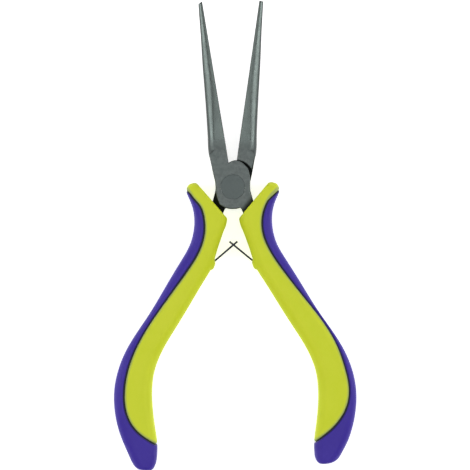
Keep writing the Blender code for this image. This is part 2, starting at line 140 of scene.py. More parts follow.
def curve_through(knots, points):
    """A natural cubic through the points: piecewise a*p0 + b*p1 + ((a^3-a)*m0 + (b^3-b)*m1)*h^2/6, with
    second derivatives m that join smoothly."""
    knots, points = np.asarray(knots, float), np.asarray(points, float)
    step, last = np.diff(knots), len(knots) - 1
    system, right = np.eye(last + 1), np.zeros_like(points)
    for i in range(1, last):
        system[i, i - 1 : i + 2] = step[i - 1], 2 * (step[i - 1] + step[i]), step[i]
        right[i] = 6 * ((points[i + 1] - points[i]) / step[i] - (points[i] - points[i - 1]) / step[i - 1])
    bend = np.linalg.solve(system, right)

    def at(values):
        """The points for these values of the knots' measure."""
        values = np.atleast_1d(np.asarray(values, float))
        i = np.clip(np.searchsorted(knots, values) - 1, 0, last - 1)
        h = step[i][:, None]
        b = (values - knots[i])[:, None] / h
        a = 1 - b
        curve = (a**3 - a) * bend[i] + (b**3 - b) * bend[i + 1]
        return a * points[i] + b * points[i + 1] + curve * h**2 / 6

    return at


def chord_knots(points):
    """The straight distance travelled from the first point to each."""
    steps = np.linalg.norm(np.diff(np.asarray(points, float), axis=0), axis=1)
    return np.concatenate([[0], np.cumsum(steps)])


def smooth_path(points, count):
    """count points, evenly spaced in chord length, on the natural cubic through the given ones."""
    knots = chord_knots(points)
    return curve_through(knots, points)(np.linspace(0, knots[-1], count))


def normals_of(path):
    """Unit normals of a plane path, to the left of its direction."""
    along = np.gradient(path, axis=0)
    along /= np.linalg.norm(along, axis=1)[:, None]
    return np.column_stack([-along[:, 1], along[:, 0]])


def arc(radius, start_deg, end_deg, count):
    """Points at radius * (cos, sin) from one angle to the other."""
    angle = np.radians(np.linspace(start_deg, end_deg, count))
    return np.column_stack([np.cos(angle), np.sin(angle)]) * radius


def angle_of(point):
    """The point's direction from the pivot, in degrees from x."""
    return math.degrees(math.atan2(point[1], point[0]))


def turned(point, angle):
    """The point turned about the pivot, anticlockwise."""
    x, y = point
    return x * math.cos(angle) - y * math.sin(angle), x * math.sin(angle) + y * math.cos(angle)


def place(points, rear):
    """Points of the closed half to where the half lies: turned over for the rear half, opened about the
    pivot, and moved to it."""
    points = np.array(points, float)
    if rear:
        points = points * [-1, 1, -1]
    x, y = turned((points[..., 0], points[..., 1]), -HALF_OPEN if rear else HALF_OPEN)
    return (np.stack([x, y, points[..., 2]], -1) + PIVOT) / 1000


def unplaced(points, rear):
    """The reverse of place."""
    points = points * 1000 - PIVOT
    x, y = turned((points[:, 0], points[:, 1]), HALF_OPEN if rear else -HALF_OPEN)
    points = np.column_stack([x, y, points[:, 2]])
    return points * [-1, 1, -1] if rear else points


# ---- meshes


def tube(rings, ring_closed=True, ends="flat"):
    """(points, faces) of a grid of points, rows of rings, as quads. ends: flat faces, "none" or "wrap"
    for a closed row of rings."""
    rings = np.asarray(rings, float)
    rows, around = rings.shape[:2]
    last_row = rows if ends == "wrap" else rows - 1
    last_column = around if ring_closed else around - 1
    i, j = np.meshgrid(np.arange(last_row), np.arange(last_column), indexing="ij")
    k, n = (j + 1) % around, (i + 1) % rows
    quads = np.stack([i * around + j, i * around + k, n * around + k, n * around + j], -1).reshape(-1, 4)
    faces = quads.tolist()
    if ends == "flat":
        faces.append(list(range(around))[::-1])
        faces.append([(rows - 1) * around + j for j in range(around)])
    return rings.reshape(-1, 3), faces


def weld(part):
    """Joins points that coincide, and takes out the pairs of faces that would lie on each other, as where
    a slit has closed."""
    target = bmesh.ops.find_doubles(part, verts=part.verts, dist=2e-7)["targetmap"]
    found = {}
    for face in part.faces:
        found.setdefault(frozenset(target.get(vertex, vertex) for vertex in face.verts), []).append(face)
    folded = []
    for corners, faces in found.items():
        if len(faces) > 1 and len(corners) > 2:
            folded += faces
    bmesh.ops.delete(part, geom=folded, context="FACES_ONLY")
    bmesh.ops.weld_verts(part, targetmap=target)
    bare = [edge for edge in part.edges if not edge.link_faces]
    bmesh.ops.delete(part, geom=bare, context="EDGES")
    loose = [vertex for vertex in part.verts if not vertex.link_edges]
    bmesh.ops.delete(part, geom=loose, context="VERTS")


def near_seam(points):
    """1 at the seam and 0 from a millimetre away, for points of the closed half, measured in plan."""
    front, rear = (smooth_path(line, 420) for line in (SEAM_FRONT, SEAM_REAR))
    found = np.empty(len(points))
    for line, chosen in ((front, points[:, 2] >= 0), (rear, points[:, 2] < 0)):
        off = points[chosen][:, None, :2] - line[None]
        found[chosen] = np.sqrt(np.min(off[..., 0] ** 2 + off[..., 1] ** 2, axis=1))
    return 1 - smoothstep((found - 0.45) / 0.6)


def piece(name, shells, rear, node, body, slot, material, sharp_deg=38):
    """One object of several closed shells, placed, welded, facing outwards and shaded smooth except at
    sharp edges."""
    work = bmesh.new()
    for points, faces in shells:
        mesh = bpy.data.meshes.new("shell")
        mesh.from_pydata(place(points, rear).tolist(), [], faces)
        part = bmesh.new()
        part.from_mesh(mesh)
        weld(part)
        bmesh.ops.recalc_face_normals(part, faces=part.faces)
        part.to_mesh(mesh)
        part.free()
        work.from_mesh(mesh)
        bpy.data.meshes.remove(mesh)
    mesh = bpy.data.meshes.new(name)
    work.to_mesh(mesh)
    work.free()
    mesh.polygons.foreach_set("use_smooth", np.ones(len(mesh.polygons), bool))
    mesh.set_sharp_from_angle(angle=math.radians(sharp_deg))
    if slot == "shell_plastic":
        points = np.empty(3 * len(mesh.vertices))
        mesh.vertices.foreach_get("co", points)
        seam = mesh.attributes.new("seam edge", "FLOAT", "POINT")
        nearness = near_seam(unplaced(points.reshape(-1, 3), rear))
        seam.data.foreach_set("value", nearness.astype(np.float32))
    obj = bpy.data.objects.new(name, mesh)
    bpy.context.scene.collection.objects.link(obj)
    mesh.materials.append(material)
    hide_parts(node)
    if body:
        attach(obj, body)
    return obj


def slab(outline, levels, insets):
    """A plane outline carried up through the levels, drawn in along its own normals by the inset at
    each."""
    outline = np.asarray(outline, float)
    before, after = np.roll(outline, 1, axis=0), np.roll(outline, -1, axis=0)
    first, second = outline - before, after - outline
    first /= np.linalg.norm(first, axis=1)[:, None]
    second /= np.linalg.norm(second, axis=1)[:, None]
    way = first + second
    way /= np.linalg.norm(way, axis=1)[:, None]
    area = np.sum(outline[:, 0] * after[:, 1] - after[:, 0] * outline[:, 1])
    inner = np.column_stack([-way[:, 1], way[:, 0]]) * math.copysign(1, area)
    inner /= np.clip(np.sum(first * way, axis=1), 0.5, 1)[:, None]
    return tube([np.column_stack([outline + inner * inset, np.full(len(outline), level)])
                 for level, inset in zip(levels, insets)])


def rounded_edge(radius, count):
    """(how far below the face, how far in from the side) along a quarter round, from the side to the
    face."""
    turn = np.linspace(0, math.pi / 2, count)
    return radius * (1 - np.sin(turn)), radius * (1 - np.cos(turn))


def quarter_drop(radius, distance):
    """How far a quarter round of this radius lies below its face, at each distance from its end: r -
    sqrt(r^2 - (r-d)^2)."""
    return radius - np.sqrt(np.clip(radius**2 - np.clip(radius - distance, 0, radius) ** 2, 0, None))


# ---- the forged halves


def jaw(tip_slant):
    """The jaw's sections along y. Each is a flat gripping side, a small rounded edge, a slightly crowned
    land and a quarter ellipse down the back, mirrored below. The ellipse grows from the cheek's small
    edge over two millimetres. The end is blunt, with its back corner lower by tip_slant."""
    heights, widths = np.array([(8.1, 5.75), (10.4, 5.87), *JAW_WIDTHS]).T
    along = np.concatenate([np.linspace(JAW_START, JAW_START + 5, 45),
                            np.linspace(JAW_START + 5.2, JAW_LENGTH - 0.6, 110),
                            JAW_LENGTH - TIP_ROUND * (1 - np.sin(np.linspace(0, math.pi / 2, 9)))])
    under = 0.012 * (1 - smoothstep((along - JAW_START) / 0.8))
    width = curve_through(heights, widths[:, None])(along)[:, 0] + 0.008 - under
    share = np.clip((along - JAW_WIDTHS[0][0]) / (JAW_LENGTH - JAW_WIDTHS[0][0]), 0, 1)
    depth = HALF_JOINT + (TIP_HALF_DEPTH - HALF_JOINT) * share**0.9 + 0.004 - under
    drawn = TIP_ROUND * (1 - np.sqrt(1 - np.clip(1 - (JAW_LENGTH - along) / TIP_ROUND, 0, 1) ** 2))
    depth = depth - drawn
    grown = smoothstep((along - JAW_START - 0.5) / 2.0)
    crown = JAW_CROWN * width * smoothstep((along - 12.5) / 24.0)
    reach = CHEEK_ROUND + (np.minimum(JAW_BACK_REACH, JAW_BACK_SHARE * width) - CHEEK_ROUND) * grown
    fall = CHEEK_ROUND + (0.97 * depth - crown - CHEEK_ROUND) * grown
    edge = np.minimum(0.16, 0.2 * width)
    quarter = np.linspace(0, math.pi / 2, 26)
    small = np.linspace(0, math.pi / 2, 6)
    flat = np.linspace(0, 1, 11)[1:-1]
    w, d, rx, rz, e, back, c = (v[:, None] for v in (width, depth, reach, fall, edge, drawn, crown))
    x = np.hstack([-e + e * np.cos(small), -(e + (w - rx - e) * flat), -(w - rx) - rx * np.sin(quarter)])
    z = np.hstack([d - e + e * np.sin(small), d + 0 * flat,
                   d - rz + rz * np.cos(quarter)]) - c * (x / w) ** 2
    x = np.clip(x, -(w - back), -back)
    x = np.hstack([x, x[:, ::-1]]) - JAW_FACE
    z = np.hstack([z, -z[:, ::-1]])
    y = along[:, None] + tip_slant * (x / w) * smoothstep((share[:, None] - 0.9) / 0.1)
    return tube(np.stack([x, y, z], -1))


def evened(outline, spacing):
    """The closed outline with points added on its long straight stretches."""
    parts = []
    for a, b in zip(outline, np.roll(outline, -1, axis=0)):
        count = max(1, math.ceil(np.linalg.norm(b - a) / spacing))
        parts.append(a + (b - a) * np.arange(count)[:, None] / count)
    return np.vstack(parts)


def joint_outline(crested):
    """The front layer's outline in plan: the cheek's left edge, the heel's arc, the flank, and the disc's
    arc or the crest over the top, up to the gripping face."""
    left = smooth_path(CHEEK_EDGE, 70)
    heel = arc(HEEL_RADIUS, angle_of(CHEEK_EDGE[-1]), -80.0, 50)
    inner = [(1.6, -7.6), (2.0, -9.2)]
    right = smooth_path(FLANK_EDGE, 60)
    plain = np.vstack([arc(DISC_RADIUS, angle_of(FLANK_EDGE[-1]), 89.6, 60),
                       [(-JAW_FACE - 0.02, DISC_RADIUS)]])
    top = smooth_path(CREST, 60) if crested else plain
    face = [(-JAW_FACE - 0.02, CHEEK_END)]
    return evened(np.vstack([left, heel[1:], inner, right, top[1:], face]), 0.5)


def cheek(crested):
    """The front layer of the joint, on one half with a low crest at the top: the outline carried up its
    side, over a rounded edge and a little way in, then a flat face with the rivet's bore through it."""
    outline = joint_outline(crested)
    down, inward = rounded_edge(CHEEK_ROUND, 8)
    levels = np.concatenate([[CHEEK_FACE, CHEEK_FACE], HALF_JOINT - down, [HALF_JOINT]])
    side, _ = slab(outline, levels, np.concatenate([[0.12, 0.0], inward, [inward[-1] + 0.1]]))
    side, faces = tube(side.reshape(len(levels), -1, 3), ends="none")
    turn = np.linspace(0, 2 * math.pi, ROUND_COUNT + 1)[:-1]
    around = np.column_stack([np.cos(turn), np.sin(turn)])
    rims = [(BORE_RADIUS + 0.15, HALF_JOINT), (BORE_RADIUS + 0.03, HALF_JOINT),
            (BORE_RADIUS, HALF_JOINT - 0.03), (BORE_RADIUS, CHEEK_FACE),
            (BORE_RADIUS + 0.15, CHEEK_FACE)]
    rings = [np.column_stack([around * radius, np.full(ROUND_COUNT, level)]) for radius, level in rims]
    bore, more = tube(rings, ends="none")
    points, count, n = np.vstack([side, bore]), len(side), len(outline)
    faces = faces + [[i + count for i in face] for face in more]
    for first, second in ((count - n, count), (0, len(points) - ROUND_COUNT)):
        rows = [np.arange(first, first + n), np.arange(second, second + ROUND_COUNT)]
        numbers = np.concatenate(rows)
        loops = [[Vector((x, y, 0)) for x, y, _ in points[row]] for row in rows]
        faces += [[int(numbers[i]) for i in face] for face in tessellate_polygon(loops)]
    return points, faces


def root_block(outline):
    """A piece of the joint at full depth behind the cheek, with a rounded rear edge."""
    down, inward = rounded_edge(0.32, 8)
    levels = np.concatenate([-HALF_JOINT + down[::-1], [0.4]])
    return slab(outline, levels, np.concatenate([inward[::-1], [0]]) + 0.008)


def jaw_root():
    """The block behind the cheek that the jaw grows from. Its lower side is a hollow arc round the other
    half's disc, with a radius that falls by 0.4 towards the left edge."""
    turn = np.linspace(90.4, angle_of((-5.62, 6.27)), 40)
    radius = JAW_SHOULDER - 0.4 * smoothstep((turn - 104) / 28)
    shoulder = arc(1.0, turn[0], turn[-1], 40) * radius[:, None]
    left = smooth_path(CHEEK_EDGE[:4], 60)
    left = left[left[:, 1] > shoulder[-1, 1] + 0.1]
    return root_block(np.vstack([shoulder, left[::-1], [(-JAW_FACE - 0.02, CHEEK_END)]]))


def tang_root():
    """The block behind the cheek that the tang grows from, with a hollow arc round the other disc."""
    shoulder = arc(SHOULDER_RADIUS, angle_of((1.85, -8.25)), angle_of((6.0, -5.95)), 40)
    return root_block(np.vstack([shoulder, [(6.08, -9.2), (2.0, -9.2)]]))


# ---- the handle sleeves


def sleeve_rails(butt_lift):
    """The sleeve's inner and outer edge in plan, as natural cubics over one set of knots, and the knots.
    The last points are lifted by up to butt_lift."""
    inner, outer = (np.array(side) for side in zip(*SLEEVE))
    for points in (inner, outer):
        points[-4:, 1] += butt_lift * np.array([0.35, 0.75, 1.0, 1.0])
    knots = (chord_knots(inner) + chord_knots(outer)) / 2
    return curve_through(knots, inner), curve_through(knots, outer), knots


INNER_RAIL, OUTER_RAIL, KNOTS = sleeve_rails(0.0)
LEAF_AT = KNOTS[7] - 1.6
BOSS_AT, BOSS_REACH, BOSS_HEIGHT = KNOTS[7] - 0.4, 2.1, 0.7
SEAM_RISE, SEAM_END = 0.4, KNOTS[16] - 0.6
CORNER, BUTT_ROUND = 3.0, 3.0
MOUTH_ROUND, MOUTH_DEPTH, MOUTH_LOW, MOUTH_HIGH = 0.6, 1.5, 2.3, 7.45
SHELL_LIP, BACK_LIP = 0.3, 0.4


def across_rails(rails, t):
    """The inner rail's points, the sleeve's width, and the unit vector from rail to rail, for each t."""
    a, b = rails[0](t), rails[1](t)
    width = np.linalg.norm(b - a, axis=1)
    return a, width, (b - a) / width[:, None]


def laid(a, way, across, up):
    """Points at a + way * across in plan and at height up, one row of them for each t."""
    return np.stack([a[:, :1] + way[:, :1] * across, a[:, 1:] + way[:, 1:] * across, up], -1)


def section(rails, t, c, inset=0.0, ease=0.0):
    """Points round the sleeve. t is the distance down the handle, one per row, and c runs round the
    section: 0 at the middle of the inner side, 1 to 2 over its corner, 2 to 3 across the flat face, 3 to
    4 over the outer corner and 5 at the middle of the outer side, negative on the rear. inset moves a
    point inwards along the section's normal."""
    t = np.asarray(t, float)
    a, width, way = across_rails(rails, t)
    sink = quarter_drop(BUTT_ROUND, rails[2][-1] - t)
    ease = np.broadcast_to(np.asarray(ease, float), t.shape)
    half = (HALF_GRIP - sink - ease)[:, None]
    low, high = ease[:, None], (width - ease)[:, None]
    r = np.minimum(CORNER, np.minimum((high - low) * 0.42, half * 0.8))
    c = np.broadcast_to(np.asarray(c, float), (len(t), np.shape(c)[-1]))
    c = np.where(c > 5, c - 10, c)
    side, m = np.sign(c + 1e-12), np.abs(c)
    turn_in, turn_out = np.clip(m - 1, 0, 1) * math.pi / 2, np.clip(m - 3, 0, 1) * math.pi / 2
    across = np.select(
        [m < 1, m < 2, m < 3, m < 4],
        [low + 0 * m, low + r - r * np.cos(turn_in), low + r + (high - low - 2 * r) * (m - 2),
         high - r + r * np.sin(turn_out)],
        high + 0 * m)
    up = np.select(
        [m < 1, m < 2, m < 3, m < 4],
        [(half - r) * m, half - r + r * np.sin(turn_in), half + 0 * m, half - r + r * np.cos(turn_out)],
        (half - r) * (5 - m))
    normal_across = np.select([m < 1, m < 2, m < 3, m < 4],
                              [-1 + 0 * m, -np.cos(turn_in), 0 * m, np.sin(turn_out)], 1.0)
    normal_up = np.select([m < 1, m < 2, m < 3, m < 4],
                          [0 * m, np.sin(turn_in), 1 + 0 * m, np.cos(turn_out)], 0.0)
    boss = smoothstep(1.7 * (1 - np.abs(t - BOSS_AT) / BOSS_REACH))[:, None] * BOSS_HEIGHT
    across = across - boss * (1 - smoothstep(m - 0.9))
    across = across - normal_across * inset
    up = (up - normal_up * inset) * side
    return laid(a, way, across, up)


def seam_line(points, offset):
    """The seam in plan, moved sideways towards the back by offset."""
    line = smooth_path(points, 600)
    return line + normals_of(line) * offset


def seam_across(rails, t, line):
    """How far across the sleeve a line lies at each distance down it, and the sleeve's width there."""
    a, width, way = across_rails(rails, t)
    to = line[None] - a[:, None]
    off = to[..., 0] * -way[:, 1:] + to[..., 1] * way[:, :1]
    along = to[..., 0] * way[:, :1] + to[..., 1] * way[:, 1:]
    crosses = (off[:, :-1] * off[:, 1:] <= 0) & (along[:, 1:] > -6) & (along[:, 1:] < width[:, None] + 8)
    first = np.argmax(crosses, axis=1)
    rows = np.arange(len(t))
    f = off[rows, first] / (off[rows, first] - off[rows, first + 1] + 1e-12)
    found = along[rows, first] * (1 - f) + along[rows, first + 1] * f
    return np.where(crosses.any(axis=1), found, width + 1), width


def seam_start(rails, line):
    """Where the seam leaves the outer side for the flat face."""
    t = np.linspace(KNOTS[1], KNOTS[4], 1500)
    across, width = seam_across(rails, t, line)
    return t[np.nonzero(across > width - 0.02)[0][-1]]


def seam_coordinate(rails, t, line):
    """The seam as the section's own coordinate c. It runs up the flare's outer side from the middle over
    SEAM_RISE."""
    starts = seam_start(rails, line)
    across, width = seam_across(rails, np.maximum(t, starts), line)
    r = np.minimum(CORNER, width * 0.42)
    turn_in = np.arccos(np.clip(1 - across / r, -1, 1)) / (math.pi / 2)
    turn_out = np.arcsin(np.clip((across - width + r) / r, 0, 1)) / (math.pi / 2)
    c = np.select([across < r, across < width - r], [1 + turn_in, 2 + (across - r) / (width - 2 * r)],
                  3 + turn_out)
    return c + (5 - c) * np.clip((starts - t) / SEAM_RISE, 0, 1)


def per_unit(rails, t, c):
    """Millimetres of surface for each unit of c."""
    d = 1e-3
    p = section(rails, t, c - d) - section(rails, t, c + d)
    return np.linalg.norm(p, axis=-1) / (2 * d)


def strip_rows(rails, t, c_low, c_high, round_radius, columns, wall, ease=0.0):
    """Rings of a moulded layer that covers the section from c_low to c_high, with rounded lips at both:
    over the outside one way and back along the inside. Between the lips the points keep to the given
    columns."""
    lip_in, lip_down = rounded_edge(1.0, 7)
    scales = [np.maximum(per_unit(rails, t, c[:, None])[:, 0], 1.0) for c in (c_low, c_high)]
    scale_low, scale_high = scales
    least = (c_high - c_low) * np.minimum(scale_low, scale_high)
    whole = np.isclose(c_high - c_low, 10)
    slant = np.clip(np.hypot(1, np.gradient(c_high, t) * scale_high), 1, 3) * ~whole
    lip = np.minimum(round_radius * slant, 0.3 * least)
    first = c_low[:, None] + (lip / scale_low)[:, None] * lip_in[::-1][None]
    last = c_high[:, None] - (lip / scale_high)[:, None] * lip_in[None]
    middle = np.clip(columns[None], first[:, -1:], last[:, :1])
    c = np.hstack([first, middle, last])
    depth = np.minimum(round_radius, lip)[:, None]
    inset = np.hstack([depth * lip_down[::-1][None], 0 * middle, depth * lip_down[None]])
    outside = section(rails, t, c, inset, ease)
    inside = section(rails, t, c[:, ::-1], np.maximum(wall, inset[:, ::-1] + 0.02), ease)
    return outside, inside, c


def hole_ring(rails, t, c):
    """The mouth that the tang goes in by, as points for the same section coordinates."""
    a, _, way = across_rails(rails, t)
    m = np.abs(np.where(c > 5, c - 10, c))
    side = np.sign(np.where(c > 5, c - 10, c) + 1e-12)
    across = np.interp(m, [0, 1.3, 3.7, 5], [MOUTH_LOW, MOUTH_LOW, MOUTH_HIGH, MOUTH_HIGH])
    up = np.interp(m, [0, 1.3, 3.7, 5], [0, HALF_JOINT + 0.3, HALF_JOINT + 0.3, 0]) * side
    return laid(a, way, across, up)


def folded_shut(outside, inside):
    """A tube of rings that run over the outside and back along the inside, with a last row at each end
    that lies on itself."""
    first, last = (np.concatenate([row[:, ::-1], row], axis=1) for row in (inside[:1], inside[-1:]))
    rings = np.concatenate([outside, inside], axis=1)
    return tube(np.concatenate([first, rings, last]), ends="none")


def shell(rails):
    """The shell round the inner side and both faces, closed over the flank except for the tang's
    mouth."""
    front, rear = seam_line(SEAM_FRONT, -GROOVE / 2), seam_line(SEAM_REAR, -GROOVE / 2)
    starts = [seam_start(rails, line) for line in (front, rear)]
    opens = min(starts) - SEAM_RISE
    t = np.concatenate([MOUTH_ROUND * (1 - np.cos(np.linspace(0, 1, 7) * math.pi / 2)),
                        np.linspace(0.75, opens, 12), np.linspace(opens, max(starts) + 1.2, 50)[1:],
                        np.linspace(max(starts) + 1.2, KNOTS[6], 60)[1:],
                        np.linspace(KNOTS[6], KNOTS[8], 50)[1:],
                        np.linspace(KNOTS[8], SEAM_END - 0.8, 100)[1:],
                        SEAM_END - GROOVE / 2 - np.array([0.45, 0.3, 0.15, 0.07, 0.02, 0.0])])
    ease = quarter_drop(MOUTH_ROUND, t) + quarter_drop(SHELL_LIP, SEAM_END - GROOVE / 2 - t)
    c_high, c_low = seam_coordinate(rails, t, front), -seam_coordinate(rails, t, rear)
    columns = np.linspace(-5, 5, 171)
    outside, inside, c = strip_rows(rails, t, c_low, c_high, SHELL_LIP, columns, WALL, ease)
    near = t < MOUTH_DEPTH
    inside[near] = hole_ring(rails, t[near], c[near])[:, ::-1]
    return folded_shut(outside, inside)


def back(rails):
    """The outer back: a strip that starts as a point at the flare and widens down the handle, and the
    butt."""
    front, rear = seam_line(SEAM_FRONT, GROOVE / 2), seam_line(SEAM_REAR, GROOVE / 2)
    starts = [seam_start(rails, line) for line in (front, rear)]
    t = np.concatenate([np.linspace(max(starts) - 0.8 * SEAM_RISE, max(starts) + 1.2, 50),
                        np.linspace(max(starts) + 1.2, KNOTS[4], 40)[1:],
                        np.linspace(KNOTS[4], SEAM_END, 150)[1:],
                        [SEAM_END + GROOVE / 2]])
    c_low, c_high = seam_coordinate(rails, t, front), 10 - seam_coordinate(rails, t, rear)
    outside, inside, _ = strip_rows(rails, t, c_low, c_high, BACK_LIP, np.linspace(1, 9, 137), WALL)
    strip = folded_shut(outside, inside)
    end = rails[2][-1]
    t = np.concatenate([SEAM_END + GROOVE / 2 + np.array([0.0, 0.02, 0.08, 0.17, 0.3]),
                        np.linspace(SEAM_END + 0.8, end - BUTT_ROUND, 24),
                        end - BUTT_ROUND * np.cos(np.linspace(0, 1, 22)[1:] * math.pi / 2)])
    c = np.linspace(-5, 5, 161)[:-1][None]
    sunk = quarter_drop(SHELL_LIP, t - SEAM_END - GROOVE / 2)
    rings = section(rails, t, c, sunk[:, None] * (1 - smoothstep((np.abs(c) - 0.95) / 0.4)))
    return [strip, tube(rings)]


def core(rails):
    """The dark sleeve inside, which shows in the groove."""
    t = np.linspace(1.6, SEAM_END + 1.5, 140)
    depth = GROOVE_DEPTH - 0.2 * (1 - smoothstep((t - 5.0) / 3.0))
    return tube(section(rails, t, np.linspace(-5, 5, 97)[:-1][None], depth[:, None]))


def tang(rails):
    """The tang from the joint into the sleeve, a rectangle with small chamfers carried down the
    middle."""
    share = 0.53
    follow = INNER_RAIL(KNOTS[8:14]) * (1 - share) + OUTER_RAIL(KNOTS[8:14]) * share
    path = smooth_path(np.vstack([[(4.05, -8.9)], TANG_TOP[2:], follow]), 60)
    side, run = normals_of(path), chord_knots(path)
    w = (2.14 - 0.55 * np.clip((run - 18) / 50, 0, 1))[:, None]
    d = (HALF_JOINT - 0.02 - 0.9 * np.clip((run - 4) / 14, 0, 1))[:, None]
    chamfer = 0.3
    across = np.hstack([-w, -w, -w + chamfer, w - chamfer, w, w, w - chamfer, -w + chamfer])
    z = np.hstack([-d + chamfer, d - chamfer, d, d, d - chamfer, -d + chamfer, -d, -d])
    return tube(np.stack([path[:, :1] + across * side[:, :1], path[:, 1:] + across * side[:, 1:], z], -1))


# ---- the rivet


def rivet():
    """A turned rivet, flush, with a very slightly crowned face, a small chamfer and countersunk heads."""
    top, neck, neck_radius = HALF_JOINT, HALF_JOINT - 2.0, 2.6
    crown = [(RIVET_HEAD_RADIUS * q, top - 0.02 - 0.03 * q * q) for q in (0.02, 0.2, 0.4, 0.6, 0.8, 0.93)]
    upper = crown + [(RIVET_HEAD_RADIUS - 0.03, top - 0.06), (RIVET_HEAD_RADIUS, top - 0.1),
                     (RIVET_HEAD_RADIUS, top - 0.6), (neck_radius, neck)]
    profile = np.array(upper + [(r, -z) for r, z in reversed(upper)])
    turn = np.linspace(0, 2 * math.pi, ROUND_COUNT + 1)[:-1]
    r, z = profile[:, :1], profile[:, 1:]
    return tube(np.stack([r * np.cos(turn), r * np.sin(turn), z + 0 * turn], -1))


# ---- the leaf springs


def leaf_line():
    """(foot's end, bend, blade's direction, distance to the crossing) of a leaf. Open, the blade rises at
    LEAF_RISE_DEG and meets the other one in the plane of symmetry."""
    mouth = INNER_RAIL([LEAF_AT])[0]
    x, _ = turned(mouth, HALF_OPEN)
    rise = math.radians(LEAF_RISE_DEG)
    blade = np.array(turned((-math.cos(rise), math.sin(rise)), -HALF_OPEN))
    to_crossing = x / math.cos(rise)
    bend = mouth - blade * LEAF_BURIED
    down = INNER_RAIL([LEAF_AT + LEAF_BURIED + LEAF_FOOT])[0] - INNER_RAIL([LEAF_AT + LEAF_BURIED])[0]
    end = bend + down / np.linalg.norm(down) * LEAF_FOOT
    return end, bend, blade, LEAF_FOOT + LEAF_BURIED + to_crossing


def leaf_points(distance, across, off):
    """Points of the strip: distance from the foot's end, across its width, and off its middle plane. The
    bend at the mouth is an arc between the two straight runs."""
    end, bend, blade, _ = leaf_line()
    down = (bend - end) / np.linalg.norm(bend - end)
    from_bend = distance - LEAF_FOOT
    near = np.clip(1 - np.abs(from_bend) / LEAF_BEND, 0, 1)
    straight = np.where(from_bend[..., None] < 0, down, blade) * from_bend[..., None]
    centre = bend + straight + (blade - down) * (0.3 * near**2)[..., None]
    mix = np.clip((from_bend + LEAF_BEND) / (2 * LEAF_BEND), 0, 1)[..., None]
    along = down * (1 - mix) + blade * mix
    along /= np.linalg.norm(along, axis=-1)[..., None]
    side = np.stack([-along[..., 1], along[..., 0]], -1)
    xy = centre + side * off[..., None]
    return np.concatenate([xy, across[..., None]], -1)


def plate(distances, edges, kept):
    """A strip cut to a pattern: the cells of the grid that kept marks, with a face on either side and a
    wall wherever a kept cell meets a missing one. edges holds the lines across the width at each
    distance."""
    rows, cols = edges.shape
    half = LEAF_THICKNESS / 2
    d = np.broadcast_to(distances[:, None], edges.shape)
    top, bottom = leaf_points(d, edges, 0 * d + half), leaf_points(d, edges, 0 * d - half)
    points = np.concatenate([top.reshape(-1, 3), bottom.reshape(-1, 3)])
    number = np.arange(rows * cols).reshape(rows, cols)
    under = number + rows * cols
    p, q, r, s = number[:-1, :-1], number[:-1, 1:], number[1:, 1:], number[1:, :-1]
    faces = np.stack([p, q, r, s], -1)[kept].tolist()
    p, q, r, s = under[:-1, :-1], under[:-1, 1:], under[1:, 1:], under[1:, :-1]
    faces += np.stack([s, r, q, p], -1)[kept].tolist()
    padded = np.pad(kept, 1)
    walls = [(padded[1:, 1:-1] != padded[:-1, 1:-1], 0, 1), (padded[1:-1, 1:] != padded[1:-1, :-1], 1, 0)]
    for shown, down, right in walls:
        i, j = np.nonzero(shown)
        a, b = number[i, j], number[i + down, j + right]
        faces += np.stack([a, b, b + rows * cols, a + rows * cols], -1).tolist()
    held = np.unique(np.concatenate([np.ravel(f) for f in faces]))
    renumbered = np.zeros(len(points), int)
    renumbered[held] = np.arange(len(held))
    return points[held], [renumbered[f].tolist() for f in faces]


def leaf_distances(marks):
    """Distances along a leaf every 0.35 mm and at the marks."""
    _, _, _, crossing = leaf_line()
    steps = np.arange(0, crossing + LEAF_PAST_CROSSING, 0.35)
    steps = steps[np.abs(steps[:, None] - np.array(marks)[None]).min(axis=1) > 0.12]
    return np.unique(np.concatenate([steps, marks]))


def window_leaf():
    """The leaf with the window: three cells across, the middle one left out over the window's length."""
    _, _, _, crossing = leaf_line()
    low, high = crossing - WINDOW_LENGTH / 2, crossing + WINDOW_LENGTH / 2
    tip = crossing + LEAF_PAST_CROSSING
    d = leaf_distances([0.0, low, high, tip - 0.25, tip - 0.08, tip])
    half = LEAF_WIDTH / 2 - 0.35 * np.clip(1 - (tip - d) / 0.25, 0, 1) ** 2
    edges = np.stack([-half, 0 * d - WINDOW_WIDTH / 2, 0 * d + WINDOW_WIDTH / 2, half], 1)
    kept = np.ones((len(d) - 1, 3), bool)
    kept[(d[:-1] > low - 1e-6) & (d[1:] < high + 1e-6), 1] = False
    return plate(d, edges, kept)


def tongue_leaf():
    """The leaf with the tongue: full width, a neck that passes through the window, and a head wider than
    it."""
    _, _, _, crossing = leaf_line()
    neck, head, half = WINDOW_WIDTH / 2 - 0.3, WINDOW_WIDTH / 2 + 0.9, LEAF_WIDTH / 2
    tip = crossing + LEAF_PAST_CROSSING
    marks = [crossing - 1.5, crossing - 0.9, crossing + 0.75, crossing + 0.8, tip - 0.2, tip]
    d = leaf_distances([0.0, *marks])
    width = np.interp(d, marks, [half, neck, neck, head, head, head - 0.25])
    return plate(d, np.stack([-width, 0 * d, width], 1), np.ones((len(d) - 1, 2), bool))


# ---- materials


def feed(tree, socket, value):
    """Links the socket from another one, or sets its value."""
    if isinstance(value, bpy.types.NodeSocket):
        tree.links.new(value, socket)
    elif value is not None:
        socket.default_value = value


def node(tree, kind, inputs=None, **settings):
    """A node with its settings, its inputs set to values or linked from sockets."""
    made = tree.nodes.new(kind)
    for name, value in settings.items():
        setattr(made, name, value)
    for name, value in (inputs or {}).items():
        feed(tree, made.inputs[name], value)
    return made


